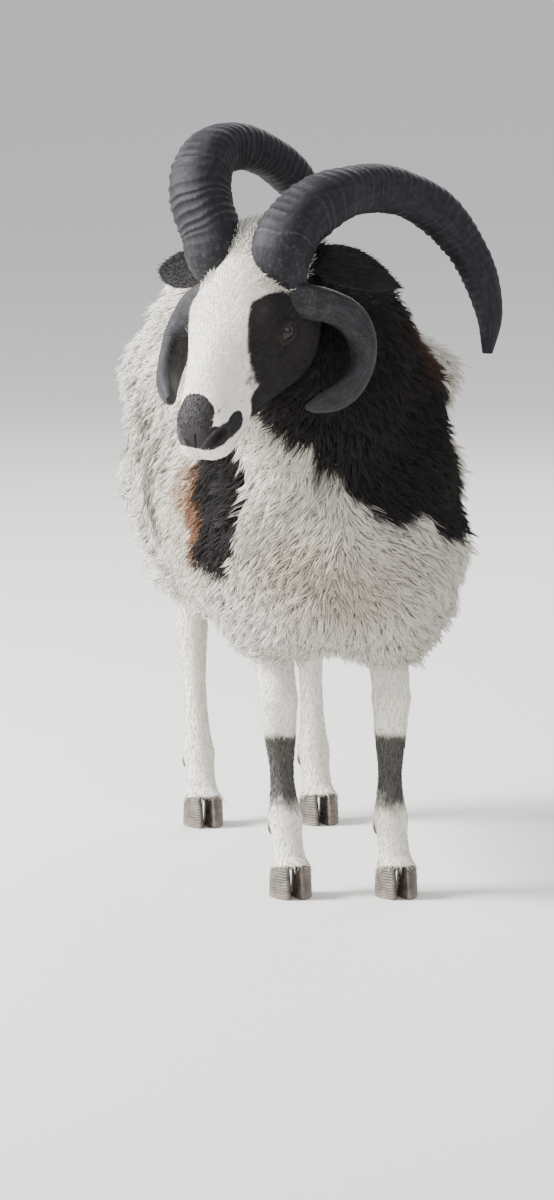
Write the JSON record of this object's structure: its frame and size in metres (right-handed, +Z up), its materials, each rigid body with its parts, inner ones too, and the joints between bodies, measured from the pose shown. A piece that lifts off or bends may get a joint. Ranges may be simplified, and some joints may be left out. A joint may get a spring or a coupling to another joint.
{
  "type": "jacob sheep",
  "caption": "Life-size still model of a four-horned Jacob ram standing with its head lowered and turned, two upper horns arching back and two side horns curling round the cheeks.",
  "frame": {"origin": "on the floor, under the middle of the whole animal's box", "axes": "+Z up; the ram's body points along -Y and its left side is +X"},
  "size_m": [0.4342, 1.0689, 0.9404],
  "materials": {
    "white_wool": "matt crimped fleece, off-white with grey-brown streaks",
    "black_wool": "matt crimped fleece, brown-black, sun-bleached at the tips",
    "white_hair": "short flat hair over skin, white with black patches",
    "black_hair": "short flat black hair over skin",
    "dark_horn": "ridged slate-black horn, dull sheen",
    "hoof_horn": "worn dark hoof horn",
    "dark_eye": "wet dark brown eye with a level pupil"
  },
  "bodies": {
    "root": {"torso": "white_wool", "neck": "black_wool", "tail": "white_wool", "head": "white_hair", "ear_left": "black_hair", "ear_right": "black_hair", "eye_left": "dark_eye", "eye_right": "dark_eye", "horn_upper_left": "dark_horn", "horn_upper_right": "dark_horn", "horn_side_left": "dark_horn", "horn_side_right": "dark_horn", "leg_front_left": "white_hair", "leg_front_right": "white_hair", "leg_hind_left": "white_hair", "leg_hind_right": "white_hair", "hoof_front_left_claw_right": "hoof_horn", "hoof_front_left_claw_left": "hoof_horn", "hoof_front_right_claw_right": "hoof_horn", "hoof_front_right_claw_left": "hoof_horn", "hoof_hind_left_claw_right": "hoof_horn", "hoof_hind_left_claw_left": "hoof_horn", "hoof_hind_right_claw_right": "hoof_horn", "hoof_hind_right_claw_left": "hoof_horn"}
  },
  "joints": []
}
